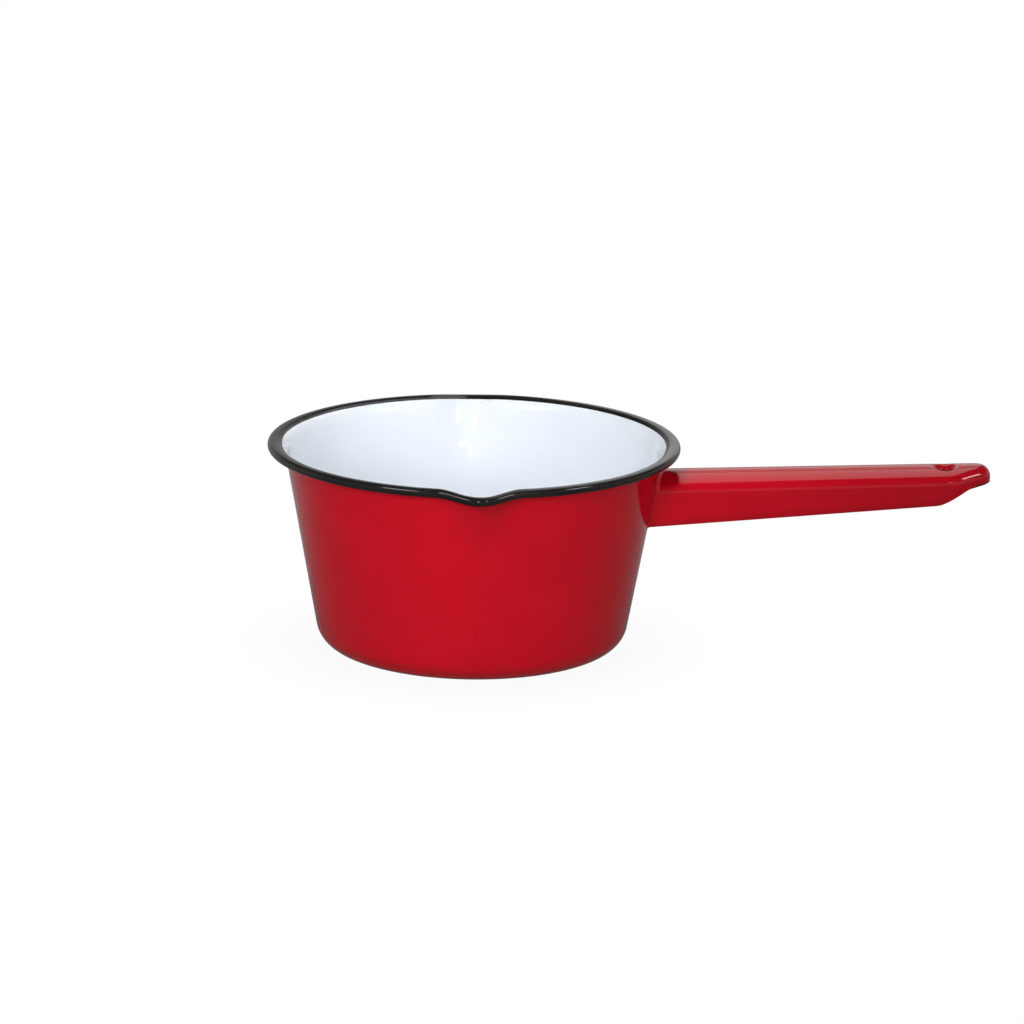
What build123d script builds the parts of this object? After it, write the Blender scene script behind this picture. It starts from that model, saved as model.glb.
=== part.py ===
from build123d import *
from math import asin, atan2, cos, degrees, hypot, pi, radians, sin, sqrt, tan
import os

# Enamelled milk pan: a drawn steel bowl with a rolled rim and two pouring lips, and a pressed channel
# handle welded to its side. Every steel face carries a fired coat, and each coat is its own sub-part.
# The origin is the middle of the resting face, +Z is up, the handle points along +X and the lips along Y.
# A depth is measured from the finished outside of the wall towards the milk, square to the sheet.

# Sheet and enamel
steel_gauge = 0.7
coat = 0.25

# Bowl
pan_height = 86.2
rim_radius = 85.0
wall_lean = 10.3
base_corner_radius = 11.0

# Rolled rim
flare_radius = 5.0
crown_flat = 0.75
roll_radius = 1.75
curl_tuck_angle = 8.0
curl_slit = 0.3
white_edge_angle = 124.0
red_edge_angle = -68.0

# Pouring lips
lip_reach = 5.8
lip_dip = 1.6
lip_half_angle = 12.1
lip_crease_depth = 21.0
lip_band_depth = 31.0
crease_softness_share = 0.42
lip_station_shares = (-1.5, -1.25, -1, -0.8, -0.6, -0.4, -0.2, 0, 0.2, 0.4, 0.6, 0.8, 1, 1.25, 1.5)

# Handle
handle_length = 137.4
handle_drop = 12.1
handle_depth = 20.9
handle_rise = 1.33
handle_under_rise = 4.44
handle_root_width = 27.0
handle_end_width = 24.0
handle_crown_radius = 22.0
handle_shoulder_radius = 4.6
handle_tip_width = 10.4
handle_tip_setback = 15.0
handle_side_blend = 20.0
handle_nose_blend = 7.6
skirt_setback = 9.7
skirt_depth = 8.2
nose_depth = 6.6
grip_end_setback = 21.3
grip_end_blend = 9.0
skirt_blend = 4.0
hem_turn = 1.2
hem_radius = 6.0
hem_start_angle = 6.0
hem_sweep_angle = 60.0

# Hanging hole
hole_setback = 18.9
hole_radius = 3.5
hole_lip_radius = 3.0
hole_throat = 2.0

# Weld: a hollow bead, run a little into the sheets so that its edges end square
weld_radius = 2.2
weld_bite = 0.15

# How far a cutting shape runs past what it cuts, and how close two seams count as one
overrun = 2.0
seam_tolerance = 0.001

# Worked out from the sizes above
steel_side = coat
milk_side = coat + steel_gauge
sheet = coat + steel_gauge + coat
lean = radians(wall_lean)
flare_r = rim_radius - roll_radius - crown_flat
flare_z = pan_height - flare_radius - sheet
foot_radius = flare_r - flare_radius / cos(lean) - tan(lean) * flare_z
corner_r = foot_radius + tan(lean) * base_corner_radius - base_corner_radius / cos(lean)
band_z = pan_height - lip_band_depth
lip_azimuths = (-90, 90)
lip_sector = lip_half_angle * (lip_station_shares[-1] - lip_station_shares[0])

tail_angle = -90 - curl_tuck_angle
root_top_z = pan_height - handle_drop
root_under_z = root_top_z - handle_depth


def wall_radius(z, depth):
    """The straight wall's radius at a height, at a depth into the sheet"""
    return foot_radius + tan(lean) * z - depth / cos(lean)


root_x = wall_radius(root_top_z, 0)
tip_x = root_x + handle_length
hole_x = tip_x - hole_setback
buried_x = root_x - handle_root_width / 2
flange_z = root_top_z + tan(radians(handle_rise)) * (hole_x - root_x) - hole_lip_radius - hole_throat


def meridian_plane(azimuth):
    """The upright half plane through the pan's axis at an azimuth, X outwards and Y up"""
    outwards = Vector(1, 0, 0).rotate(Axis.Z, azimuth)
    return Plane(origin=(0, 0, 0), x_dir=outwards, z_dir=outwards.cross(Vector(0, 0, 1)))


# The bowl, cut through its axis


def lower_band(outer_depth, inner_depth):
    """The base, its corner and the straight wall between two depths"""
    with BuildSketch(meridian_plane(180)) as band:
        with BuildLine():
            for depth in (outer_depth, inner_depth):
                Line((0, depth), (corner_r, depth))
                middle = (corner_r, base_corner_radius)
                corner = CenterArc(middle, base_corner_radius - depth, -90, 90 - wall_lean)
                Line(corner @ 1, (wall_radius(band_z, depth), band_z))
            Line((0, outer_depth), (0, inner_depth))
            Line((wall_radius(band_z, outer_depth), band_z), (wall_radius(band_z, inner_depth), band_z))
        make_face()
    return band.sketch


class RimCut:
    """The upper wall and the rolled rim, cut at an angle away from the middle of a pouring lip"""

    def __init__(self, lip_azimuth, angle):
        share = min(abs(angle) / lip_half_angle, 1)
        bump = cos(share * pi / 2) ** 2
        shift = Vector(lip_reach * bump, -lip_dip * bump)
        crease_z = pan_height - lip_crease_depth * (1 - share) - (flare_radius + sheet) * share
        self.plane = meridian_plane(lip_azimuth + angle)
        self.flare = Vector(flare_r, flare_z) + shift
        self.roll = Vector(rim_radius - roll_radius, pan_height - roll_radius) + shift
        self.crease = Vector(wall_radius(crease_z, 0), crease_z)
        across = self.flare - self.crease
        self.lean = atan2(across.X, across.Y) - asin(flare_radius / across.length)

    def crease_at(self, depth):
        """The corner where the wall turns out into the lip"""
        below = Vector(-cos(lean), sin(lean))
        above = Vector(-cos(self.lean), sin(self.lean))
        return self.crease + (below + above) * (depth / (1 + below.dot(above)))

    def flare_at(self, angle, depth):
        return self.flare + Vector(cos(radians(angle)), sin(radians(angle))) * (flare_radius + depth)

    def roll_at(self, angle, depth):
        reach = roll_radius + depth - sheet
        return self.roll + Vector(cos(radians(angle)), sin(radians(angle))) * reach

    def flare_start(self):
        return 180 - degrees(self.lean)

    def wall_line(self, depth):
        """The wall from the band's foot, bending out at the crease, up to the flare"""
        foot = Vector(wall_radius(band_z, depth), band_z)
        top = self.flare_at(self.flare_start(), depth)
        corner = self.crease_at(depth)
        below = corner + (foot - corner) * crease_softness_share
        above = corner + (top - corner) * crease_softness_share
        Bezier(foot, below, above, top)

    def flare_arc(self, depth, end_angle):
        CenterArc(self.flare, flare_radius + depth, self.flare_start(), end_angle - self.flare_start())

    def rim_arc(self, depth, start_angle, end_angle):
        """Part of the rim's top: the flare from an angle, the crown, and the roll to an angle"""
        CenterArc(self.flare, flare_radius + depth, start_angle, 90 - start_angle)
        Line(self.flare_at(90, depth), self.roll_at(90, depth))
        self.roll_arc(depth, 90, end_angle)

    def roll_arc(self, depth, start_angle, end_angle):
        CenterArc(self.roll, roll_radius + depth - sheet, start_angle, end_angle - start_angle)

    def tail_point(self, depth, stop_radius, stop_depth):
        """Where the curl's tail, drawn at one depth, ends: at a radius from the flare's middle"""
        along = Vector(-1, 0).rotate(Axis.Z, -curl_tuck_angle)
        gauge = self.roll_at(tail_angle, stop_depth) - self.flare
        inward = gauge.dot(along)
        length = sqrt(inward**2 - gauge.length**2 + stop_radius**2) - inward
        return self.roll_at(tail_angle, depth) + along * length

    def tail_end(self, depth):
        """The steel tail stops a slit away from the wall"""
        return self.tail_point(depth, flare_radius + steel_side - curl_slit, steel_side)


def steel_cut(lip_azimuth, angle):
    """The steel: wall, flare and a hollow curl"""
    cut = RimCut(lip_azimuth, angle)
    with BuildSketch(cut.plane) as section:
        with BuildLine():
            for depth in (steel_side, milk_side):
                cut.wall_line(depth)
                cut.flare_arc(depth, white_edge_angle)
                cut.rim_arc(depth, white_edge_angle, tail_angle)
                Line(cut.roll_at(tail_angle, depth), cut.tail_end(depth))
            Line(cut.tail_end(steel_side), cut.tail_end(milk_side))
            Line((wall_radius(band_z, steel_side), band_z), (wall_radius(band_z, milk_side), band_z))
        make_face()
    return section.sketch


def white_cut(lip_azimuth, angle):
    """The white coat: the milk side up to part of the flare"""
    cut = RimCut(lip_azimuth, angle)
    with BuildSketch(cut.plane) as section:
        with BuildLine():
            for depth in (milk_side, sheet):
                cut.wall_line(depth)
                cut.flare_arc(depth, white_edge_angle)
            Line(cut.flare_at(white_edge_angle, milk_side), cut.flare_at(white_edge_angle, sheet))
            Line((wall_radius(band_z, milk_side), band_z), (wall_radius(band_z, sheet), band_z))
        make_face()
    return section.sketch


def black_cut(lip_azimuth, angle):
    """The black coat: over the crown and round the roll"""
    cut = RimCut(lip_azimuth, angle)
    with BuildSketch(cut.plane) as section:
        with BuildLine():
            for depth in (milk_side, sheet):
                cut.rim_arc(depth, white_edge_angle, red_edge_angle)
            Line(cut.flare_at(white_edge_angle, milk_side), cut.flare_at(white_edge_angle, sheet))
            Line(cut.roll_at(red_edge_angle, milk_side), cut.roll_at(red_edge_angle, sheet))
        make_face()
    return section.sketch


def red_cut(lip_azimuth, angle):
    """The red coat: the outer wall, the crease under the rim, and the roll's underside"""
    cut = RimCut(lip_azimuth, angle)
    crease_end = cut.tail_point(sheet, flare_radius, sheet)
    slit_mouth = cut.tail_end(steel_side)
    slit_angle = degrees(atan2(slit_mouth.Y - cut.flare.Y, slit_mouth.X - cut.flare.X))
    crease_angle = degrees(atan2(crease_end.Y - cut.flare.Y, crease_end.X - cut.flare.X))
    with BuildSketch(cut.plane) as section:
        with BuildLine():
            cut.wall_line(0)
            cut.flare_arc(0, crease_angle)
            Line(crease_end, cut.roll_at(tail_angle, sheet))
            cut.roll_arc(sheet, tail_angle, red_edge_angle)
            Line(cut.roll_at(red_edge_angle, sheet), cut.roll_at(red_edge_angle, milk_side))
            cut.roll_arc(milk_side, red_edge_angle, tail_angle)
            Line(cut.roll_at(tail_angle, milk_side), cut.tail_end(milk_side))
            Line(cut.tail_end(milk_side), slit_mouth)
            Line(slit_mouth, cut.flare_at(slit_angle, steel_side))
            cut.flare_arc(steel_side, slit_angle)
            cut.wall_line(steel_side)
            Line((wall_radius(band_z, steel_side), band_z), (wall_radius(band_z, 0), band_z))
        make_face()
    return section.sketch


def bowl_layer(cut, lower):
    """One layer of the bowl: the plain rim turned on both sides, both lips lofted, and the lower band"""
    first_lip = lip_azimuths[0]
    plain_arc = 180 - lip_sector
    plain = revolve(cut(first_lip, lip_sector / 2), axis=Axis.Z, revolution_arc=plain_arc, mode=Mode.PRIVATE)
    lip = loft([cut(first_lip, share * lip_half_angle) for share in lip_station_shares], mode=Mode.PRIVATE)
    others = [piece.rotate(Axis.Z, 180).solid() for piece in (plain, lip)]
    ring = plain.solid().fuse(lip.solid(), *others, glue=True)
    if lower is None:
        return ring.solid()
    bowl = revolve(lower, axis=Axis.Z, mode=Mode.PRIVATE)
    return bowl.solid().fuse(ring.solid(), glue=True, tol=seam_tolerance).solid()


# The handle: nested forms, each a depth inside the finished outside


def top_z(x):
    return root_top_z + tan(radians(handle_rise)) * (x - root_x)


def under_z(x):
    return root_under_z + tan(radians(handle_under_rise)) * (x - root_x)


def half_width(x):
    taper = (handle_end_width - handle_root_width) / (handle_length - handle_tip_setback)
    return (handle_root_width + taper * (x - root_x)) / 2


def plan_outline(inset):
    """The handle from above: a slow taper and a blunt rounded tip"""
    near = [
        (buried_x, half_width(buried_x)),
        (tip_x - handle_tip_setback, handle_end_width / 2),
        (tip_x, handle_tip_width / 2),
    ]
    far = [(x, -y) for x, y in reversed(near)]
    blends = [0, handle_side_blend, handle_nose_blend]
    with BuildSketch(Plane.XY.offset(root_under_z - 2 * overrun)) as outline:
        with BuildLine():
            FilletPolyline(*near, *far, radius=blends + blends[::-1], close=True)
        make_face()
        if inset:
            offset(amount=-inset)
    return outline.sketch


def crown_profile(inset):
    """The handle's top across: one shallow arc"""
    rise = radians(handle_rise)
    span = half_width(buried_x) + overrun
    radius = handle_crown_radius - inset
    edge = sqrt(radius**2 - span**2) - handle_crown_radius
    start = Plane(origin=(buried_x, 0, top_z(buried_x)), x_dir=(0, 1, 0), z_dir=(cos(rise), 0, sin(rise)))
    with BuildSketch(start) as profile:
        with BuildLine():
            ThreePointArc((-span, edge), (0, -inset), (span, edge))
            Polyline((span, edge), (span, -2 * handle_depth), (-span, -2 * handle_depth), (-span, edge))
        make_face()
    return profile.sketch


def under_outline(lift):
    """The handle from the side: the space above its lower edge, which climbs to a short skirt at the tip"""
    start_x = buried_x - 3 * overrun
    end_x = tip_x + 3 * overrun
    skirt_x = tip_x - skirt_setback
    climb = (top_z(tip_x) - nose_depth - top_z(skirt_x) + skirt_depth) / skirt_setback
    lower_edge = [
        (start_x, under_z(start_x)),
        (tip_x - grip_end_setback, under_z(tip_x - grip_end_setback)),
        (skirt_x, top_z(skirt_x) - skirt_depth),
        (end_x, top_z(tip_x) - nose_depth + climb * (end_x - tip_x)),
    ]
    above = [(end_x, root_top_z + handle_depth), (start_x, root_top_z + handle_depth)]
    with BuildSketch(Plane.XZ) as outline:
        with BuildLine():
            FilletPolyline(*lower_edge, *above, radius=[0, grip_end_blend, skirt_blend, 0, 0, 0], close=True)
        make_face()
        if lift:
            offset(amount=-lift, kind=Kind.INTERSECTION)
    return outline.sketch


def hem_wedge(side, inset):
    """What is cut away outside one side's lower edge, which turns in on an arc"""
    middle_drop = hem_radius * cos(radians(hem_start_angle))
    middle_rise = sqrt(hem_radius**2 - (middle_drop - hem_turn) ** 2)
    sections = []
    for x in (buried_x - overrun, tip_x + overrun):
        outside = half_width(x) + overrun
        low = root_under_z - 3 * overrun
        middle = Vector(half_width(x) - middle_drop, under_z(x) + middle_rise)
        with BuildSketch(Plane.YZ.offset(x)) as section:
            with BuildLine():
                turn = CenterArc(middle, hem_radius - inset, 0, -hem_sweep_angle)
                Polyline(turn @ 0, (outside, middle.Y), (outside, low), ((turn @ 1).X, low), turn @ 1)
            make_face()
            if side < 0:
                mirror(about=Plane.YZ, mode=Mode.REPLACE)
        sections.append(section.sketch)
    return loft(sections, ruled=True, mode=Mode.PRIVATE)


def handle_block(inset):
    """The handle filled in, a depth inside its outside and run on below its lower edge"""
    with BuildPart() as block:
        extrude(plan_outline(inset), amount=2 * handle_depth)
        extrude(crown_profile(inset), amount=2 * handle_length, mode=Mode.INTERSECT)
        for side in (-1, 1):
            add(hem_wedge(side, inset), mode=Mode.SUBTRACT)
        crown = block.faces().filter_by(GeomType.CYLINDER).sort_by(Axis.Z)[-1]
        shoulder = crown.edges().filter_by(lambda edge: edge.center().X > root_x)
        fillet(shoulder, radius=handle_shoulder_radius - inset)
        with Locations((hole_x, 0, root_under_z)):
            Cylinder(radius=hole_radius + inset, height=4 * handle_depth, mode=Mode.SUBTRACT)
        hole_wall = block.faces().sort_by_distance((hole_x, 0, under_z(hole_x)))[0]
        fillet(hole_wall.edges().sort_by(Axis.Z)[-1], radius=hole_lip_radius - inset)
    return block.part


# The weld: a bead of steel between the handle's root and the bowl's side


def wall_block(depth):
    """The bowl's side by the handle, filled in"""
    low = root_under_z - 2 * weld_radius
    high = root_top_z + 2 * weld_radius
    with BuildSketch(meridian_plane(180)) as outline:
        with BuildLine():
            side = [(wall_radius(z, depth), z) for z in (low, high)]
            Polyline((0, low), *side, (0, high), close=True)
        make_face()
    return revolve(outline.sketch, axis=Axis.Z, mode=Mode.PRIVATE)


def joined_block(depth):
    """The bowl's side and the filled handle as one, with the hollow of the joint filled round"""
    with BuildPart() as joined:
        add(handle_blocks[depth])
        extrude(under_outline(depth), amount=handle_root_width, both=True, mode=Mode.INTERSECT)
        add(wall_block(depth))
        above = under_z(root_x) + depth + hem_turn / 4
        beside_wall = joined.edges().filter_by(lambda edge: abs(edge.center().X - root_x) < 3 * weld_radius)
        round_handle = beside_wall.filter_by(lambda edge: edge.center().Z > above)
        seam = round_handle.filter_by(GeomType.CIRCLE, reverse=True)
        fillet(seam, radius=weld_radius + depth - coat)
    return joined.part


def flange_relief(lift):
    """What is cleared below the hole's short flange"""
    top = flange_z + lift
    with BuildSketch(Plane.XY.offset(root_under_z - 3 * overrun)) as disc:
        with Locations((hole_x, 0)):
            Circle(hole_radius + sheet + steel_gauge)
    return extrude(disc.sketch, amount=top - root_under_z + 3 * overrun, mode=Mode.PRIVATE)


def handle_layer(outer_depth, inner_depth, lift):
    """The handle between two depths, open below, with its lower edges and its flange lifted"""
    with BuildPart() as layer:
        add(handle_blocks[outer_depth])
        add(handle_blocks[inner_depth], mode=Mode.SUBTRACT)
        extrude(under_outline(lift), amount=handle_root_width, both=True, mode=Mode.INTERSECT)
        add(flange_relief(lift), mode=Mode.SUBTRACT)
    return layer.part


weld_depth = steel_side + weld_bite
handle_blocks = {depth: handle_block(depth) for depth in (0, steel_side, weld_depth, milk_side, sheet)}
weld_form = joined_block(weld_depth)
joined_outside = joined_block(0)


# Sub-parts of the handle

with BuildPart() as handle_pressing:
    add(handle_layer(steel_side, milk_side, coat))
    add(wall_block(steel_side), mode=Mode.SUBTRACT)

with BuildPart() as root_weld:
    add(weld_form)
    add(wall_block(steel_side), mode=Mode.SUBTRACT)
    add(handle_blocks[steel_side], mode=Mode.SUBTRACT)

with BuildPart() as handle_red_coat:
    add(joined_outside)
    add(weld_form, mode=Mode.SUBTRACT)
    add(handle_blocks[steel_side], mode=Mode.SUBTRACT)
    add(wall_block(0), mode=Mode.SUBTRACT)
    add(flange_relief(0), mode=Mode.SUBTRACT)

with BuildPart() as handle_ground_coat:
    add(handle_layer(steel_side, sheet, 0))
    add(wall_block(0), mode=Mode.SUBTRACT)
    add(handle_pressing.part, mode=Mode.SUBTRACT)


# Sub-parts of the bowl

with BuildPart() as bowl_pressing:
    add(bowl_layer(steel_cut, lower_band(steel_side, milk_side)))

with BuildPart() as white_lining:
    add(bowl_layer(white_cut, lower_band(milk_side, sheet)))

with BuildPart() as black_rim:
    add(bowl_layer(black_cut, None))

with BuildPart() as red_jacket:
    add(bowl_layer(red_cut, lower_band(0, steel_side)))
    add(handle_pressing.part, mode=Mode.SUBTRACT)
    add(root_weld.part, mode=Mode.SUBTRACT)
    # The weld's foot lies on the jacket's inner face, which can leave a face of no thickness behind
    add(red_jacket.solids().sort_by(SortBy.VOLUME)[-1], mode=Mode.REPLACE)


bowl_pressing.part.label = "bowl_pressing"
white_lining.part.label = "white_lining"
black_rim.part.label = "black_rim"
red_jacket.part.label = "red_jacket"
handle_pressing.part.label = "handle_pressing"
root_weld.part.label = "root_weld"
handle_red_coat.part.label = "handle_red_coat"
handle_ground_coat.part.label = "handle_ground_coat"

os.makedirs("parts", exist_ok=True)
export_step(bowl_pressing.part, "parts/bowl_pressing.step")
export_step(white_lining.part, "parts/white_lining.step")
export_step(black_rim.part, "parts/black_rim.step")
export_step(red_jacket.part, "parts/red_jacket.step")
export_step(handle_pressing.part, "parts/handle_pressing.step")
export_step(root_weld.part, "parts/root_weld.step")
export_step(handle_red_coat.part, "parts/handle_red_coat.step")
export_step(handle_ground_coat.part, "parts/handle_ground_coat.step")
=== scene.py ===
"""Enamelled milk pan: the dressed model, its stage and its camera.

The bowl's four layers are grown by one geometry tree out of flat sections. The handle's skins are
laid over the same rules in mesh code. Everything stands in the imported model's frame, in metres.
"""

import math
from collections import namedtuple

import bmesh
import bpy
from bpy.props import FloatProperty, FloatVectorProperty, IntProperty, PointerProperty
from mathutils import Matrix, Vector


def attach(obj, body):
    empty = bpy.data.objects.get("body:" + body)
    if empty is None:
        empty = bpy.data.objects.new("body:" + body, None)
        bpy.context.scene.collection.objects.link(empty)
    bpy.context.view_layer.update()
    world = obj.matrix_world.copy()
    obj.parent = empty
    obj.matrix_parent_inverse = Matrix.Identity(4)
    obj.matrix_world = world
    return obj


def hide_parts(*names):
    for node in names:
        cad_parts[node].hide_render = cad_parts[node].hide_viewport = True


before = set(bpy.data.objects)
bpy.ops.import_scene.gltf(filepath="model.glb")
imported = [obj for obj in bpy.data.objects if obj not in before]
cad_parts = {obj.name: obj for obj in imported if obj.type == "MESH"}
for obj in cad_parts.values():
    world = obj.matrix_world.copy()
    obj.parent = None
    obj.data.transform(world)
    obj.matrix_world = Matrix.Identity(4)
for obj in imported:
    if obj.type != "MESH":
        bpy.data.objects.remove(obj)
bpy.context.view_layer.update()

bl_info = {
    "name": "Enamel Milk Pan",
    "version": (1, 0, 0),
    "blender": (4, 5, 0),
    "location": "View3D > Sidebar > Milk Pan",
    "description": "Builds an enamelled milk pan with pouring lips, its channel handle and a plain studio",
    "category": "Add Mesh",
}

MM = 0.001
BODY = "root"
DRESSED = "dressed_"

# The floor lies a hair below the pan, so that the two faces never coincide
FLOOR_GAP = 0.1 * MM

# Points nearer than this are one point, and edges shorter than a sliver are closed up
MERGE_DISTANCE = 0.01 * MM
SLIVER = 0.001 * MM

# Edges that turn further than this aren't shaded smooth
SHARP_EDGE = math.radians(40)

# Directions nearer than this, in radians, are the same
SAME_WAY = 1e-9

# How far off a whole number in a node tree may be
WHOLE_SLACK = 0.25

# The dark line along the nose's lower edge
NOSE_EDGE_HEIGHT = 0.7 * MM
NOSE_EDGE_BLUR = 0.15 * MM
NOSE_EDGE_FADE = 3.0 * MM

# Where the mirrored surroundings turn bright: metres behind the pan's axis, and shares of straight up
FLOOR_TURN = (-0.05, 0.25)
SKY_TURN = (0.2, 0.55)

# Where the floor's shadow fades out, in metres from the pan's axis
SHADOW_FADE = (0.055, 0.11)


def length(name, description, millimetres):
    return FloatProperty(
        name=name, description=description, default=millimetres * MM, unit="LENGTH", precision=5
    )


def angle(name, description, degrees):
    return FloatProperty(name=name, description=description, default=math.radians(degrees), subtype="ANGLE")


def share(name, description, value):
    return FloatProperty(name=name, description=description, default=value, subtype="FACTOR")


def number(name, description, value):
    return FloatProperty(name=name, description=description, default=value)


def colour(name, description, value):
    return FloatVectorProperty(
        name=name, description=description, default=value, subtype="COLOR", size=3, min=0, max=1
    )


# Sizes and colours that a user would change


class BowlSizes(bpy.types.PropertyGroup):
    """The bowl's driving sizes"""

    pan_height: length("Pan Height", "From the resting face to the rim's crown", 86.2)
    rim_radius: length("Rim Radius", "Over the rolled bead, away from the lips", 85.0)
    wall_lean: angle("Wall Lean", "How far the wall leans out", 10.3)
    base_corner: length("Base Corner", "Radius between the base and the wall", 11.0)
    flare_radius: length("Flare Radius", "Radius of the turn from the wall to the rim", 5.0)
    crown_flat: length("Crown Flat", "Level stretch on top of the rim", 0.75)
    roll_radius: length("Roll Radius", "Outside radius of the rolled bead", 1.75)
    tuck_angle: angle("Tuck Angle", "How far the bead's tail tucks back up", 8.0)
    lip_reach: length("Lip Reach", "How far a pouring lip stands out", 5.8)
    lip_dip: length("Lip Dip", "How far a pouring lip drops", 1.6)
    lip_half_angle: angle("Lip Half Angle", "Half of a lip's width, seen from the pan's axis", 12.1)
    lip_crease: length("Lip Crease", "How far down the wall a lip's fold starts", 21.0)
    lip_band: length("Lip Band", "How far down the wall a lip is felt", 31.0)
    crease_softness: share("Crease Softness", "How near the fold keeps to its corner", 0.42)
    coat: length("Coat", "Thickness of one enamel coat", 0.25)
    gauge: length("Gauge", "Thickness of the steel", 0.7)
    slit: length("Curl Slit", "Gap between the curl's tail and the wall", 0.3)
    white_edge: angle("White Edge", "Where the white stops on the flare", 124.0)
    red_edge: angle("Red Edge", "Where the red stops on the bead", -68.0)
    columns: IntProperty(name="Columns", description="Divisions round the bowl", default=480, min=48)


class HandleSizes(bpy.types.PropertyGroup):
    """The handle's driving sizes"""

    reach: length("Length", "From the bowl's wall to the tip", 137.4)
    drop: length("Drop", "From the rim's crown to the handle's top at the wall", 12.1)
    depth: length("Depth", "Height of the handle's side at the wall", 20.9)
    rise: angle("Rise", "How far the top climbs", 1.33)
    under_rise: angle("Under Rise", "How far the lower edge climbs", 4.44)
    root_width: length("Root Width", "Width at the wall", 27.0)
    end_width: length("End Width", "Width where the nose begins", 24.0)
    crown_radius: length("Crown Radius", "Radius of the top, across", 22.0)
    shoulder: length("Shoulder", "Radius between the top and the sides", 4.6)
    tip_width: length("Tip Width", "Width of the blunt tip", 10.4)
    tip_setback: length("Tip Setback", "Length of the nose", 15.0)
    side_blend: length("Side Blend", "Radius where the nose begins", 20.0)
    nose_blend: length("Nose Blend", "Radius of the nose's corners", 7.6)
    skirt_setback: length("Skirt Setback", "Where the lower edge levels out, back from the tip", 9.7)
    skirt_depth: length("Skirt Depth", "Height of the side there", 8.2)
    nose_depth: length("Nose Depth", "Height of the side at the tip", 6.6)
    grip_setback: length("Grip Setback", "Where the lower edge turns up, back from the tip", 21.3)
    grip_blend: length("Grip Blend", "Radius of that turn", 9.0)
    skirt_blend: length("Skirt Blend", "Radius of the turn to the skirt", 4.0)
    hem_turn: length("Hem Turn", "How far the lower edge turns in", 1.2)
    hem_radius: length("Hem Radius", "Radius of that turn", 6.0)
    hem_start: angle("Hem Start", "Where the turn begins on its arc", 6.0)
    hole_setback: length("Hole Setback", "From the tip to the hole's middle", 18.9)
    hole_radius: length("Hole Radius", "Radius of the hanging hole", 3.5)
    hole_lip: length("Hole Lip", "Radius of the dimple round the hole", 3.0)
    hole_throat: length("Hole Throat", "Length of the hole's flange", 2.0)
    weld_radius: length("Weld Radius", "Radius of the enamel's hollow at the wall", 1.95)


class EnamelColours(bpy.types.PropertyGroup):
    """The colours of the coats, linear"""

    red: colour("Red", "Outside of the bowl and handle", (0.62, 0.002, 0.0135))
    deep_red: colour("Deep Red", "Where the red lies thick", (0.56, 0.001, 0.011))
    white: colour("White", "Inside of the bowl", (0.85, 0.885, 0.935))
    cool_white: colour("Cool White", "Where the white lies thin", (0.81, 0.855, 0.915))
    black: colour("Black", "Rim", (0.006, 0.006, 0.007))
    brown_black: colour("Brown Black", "Where the black lies thin", (0.022, 0.018, 0.015))
    ground: colour("Ground", "Inside of the handle", (0.010, 0.011, 0.014))
    pale_ground: colour("Pale Ground", "Where the ground coat lies thin", (0.16, 0.17, 0.19))
    fleck: colour("Fleck", "Specks in the ground coat", (0.2, 0.2, 0.22))
    steel: colour("Steel", "The sheet under the enamel", (0.42, 0.42, 0.43))


class StageSettings(bpy.types.PropertyGroup):
    """The camera, the lamps and the floor"""

    azimuth: angle("Azimuth", "Where the camera stands round the pan", -2.2)
    elevation: angle("Elevation", "How high the camera stands", 14.612)
    roll: angle("Roll", "How far the camera is turned about its own line of sight", 0.845)
    distance: length("Distance", "From the camera to its target", 2081.3)
    target: FloatVectorProperty(
        name="Target",
        description="What the camera looks at",
        default=(0.01599, -0.00062, 0.05603),
        subtype="XYZ",
    )
    focal_length: number("Focal Length", "In millimetres, on a 36 mm sensor", 177.1)
    floor_size: length("Floor Size", "Side of the square floor", 6000.0)
    floor_white: colour("Floor White", "Colour of the floor", (0.3, 0.3, 0.3))
    floor_glow: share("Floor Glow", "How much of the floor is plain white to the camera", 0.95)
    near_mirror: share("Near Mirror", "White in the glaze from the floor before the pan", 0.13)
    far_mirror: share("Far Mirror", "White in the glaze from the floor behind the pan", 0.34)
    sky_mirror: share("Sky Mirror", "White in the glaze from the low sky", 0.40)
    overhead_mirror: share("Overhead Mirror", "White in the glaze from straight above", 0.06)
    soft_light: share("Soft Light", "Strength of the world's even light", 0.28)
    key_power: number("Key", "Watts of the lamp at the front", 0.26)
    fill_power: number("Fill", "Watts of the lamp at the front right", 0.075)
    top_power: number("Top", "Watts of the lamp above", 1.8)
    bowl_power: number("Bowl", "Watts of the lamp over the bowl", 0.045)
    low_card: number("Low Card", "White of the lower card behind the handle", 0.45)
    high_card: number("High Card", "White of the upper card behind it", 1.1)


# Node trees, written as sums


class Wire:
    """An output socket that can be used in sums"""

    def __init__(self, bench, socket):
        self.bench = bench
        self.socket = socket

    def __add__(self, other):
        return self.bench.maths("ADD", self, other)

    def __radd__(self, other):
        return self.bench.maths("ADD", other, self)

    def __sub__(self, other):
        return self.bench.maths("SUBTRACT", self, other)

    def __rsub__(self, other):
        return self.bench.maths("SUBTRACT", other, self)

    def __mul__(self, other):
        return self.bench.maths("MULTIPLY", self, other)

    def __rmul__(self, other):
        return self.bench.maths("MULTIPLY", other, self)

    def __truediv__(self, other):
        return self.bench.maths("DIVIDE", self, other)

    def __rtruediv__(self, other):
        return self.bench.maths("DIVIDE", other, self)

    def __pow__(self, other):
        return self.bench.maths("POWER", self, other)

    def __neg__(self):
        return self.bench.maths("MULTIPLY", self, -1)

    def __abs__(self):
        return self.bench.maths("ABSOLUTE", self)


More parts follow.
